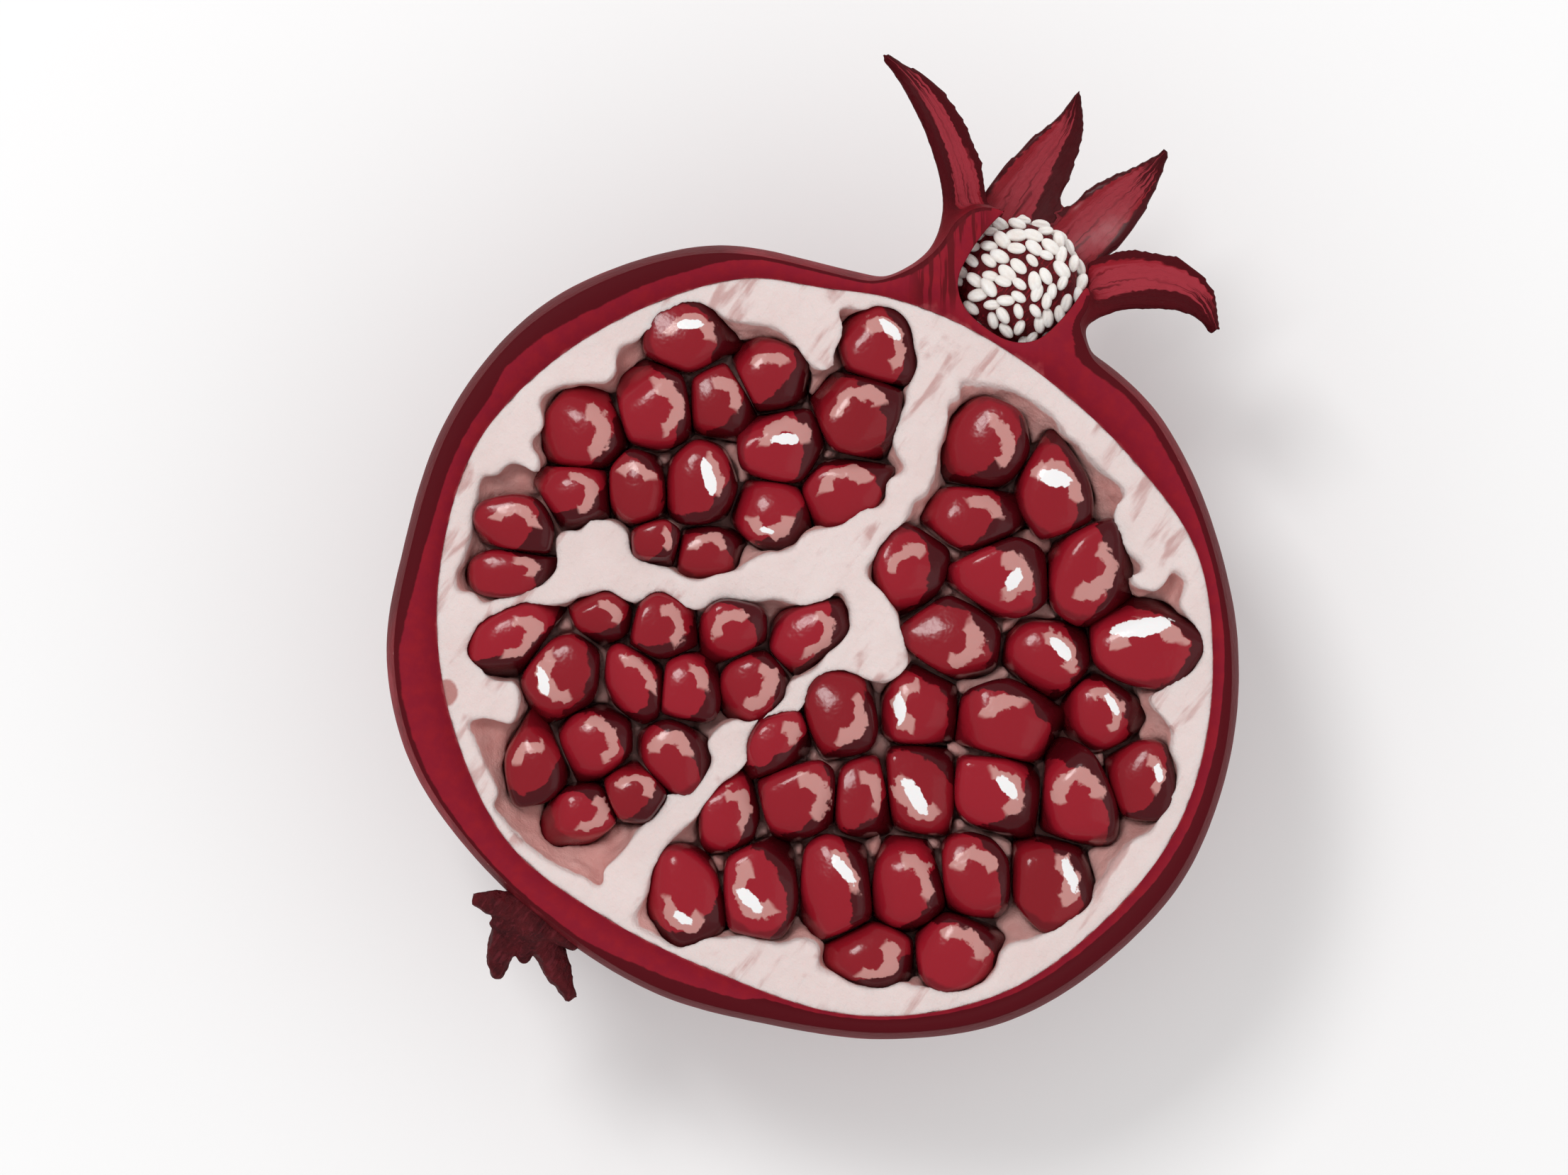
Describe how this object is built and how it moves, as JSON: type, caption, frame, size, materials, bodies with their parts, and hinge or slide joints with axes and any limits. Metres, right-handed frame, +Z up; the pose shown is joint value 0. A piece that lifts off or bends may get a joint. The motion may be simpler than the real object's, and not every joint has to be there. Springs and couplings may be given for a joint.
{
  "type": "open pomegranate",
  "caption": "Pomegranate cut in half lengthwise, resting on its rind with the cut face up, showing juicy arils in three chambers and its pointed crown.",
  "frame": {"origin": "the middle of the small flat spot that the half rests on, on its round underside", "axes": "+Z up, square out of the cut face; +Y along the fruit from its stem to its crown; +X to the right when the cut face is seen from above with the crown up"},
  "size_m": [0.1118, 0.138, 0.0544],
  "materials": {
    "rind": "leathery skin with a soft gloss, red with darker maroon shading, moist where it is cut",
    "pith": "pale, spongy flesh, matt and slightly moist, pinker inside the chambers",
    "arils": "wet and glossy, deep translucent red with a paler seed inside",
    "stamens": "dry ivory anthers on dark red filaments",
    "stem": "dry, fibrous and dark maroon"
  },
  "bodies": {
    "root": {"rind": "rind", "pith": "pith", "arils_upper": "arils", "arils_left": "arils", "arils_right": "arils", "stamens": "stamens", "stem": "stem"}
  },
  "joints": []
}
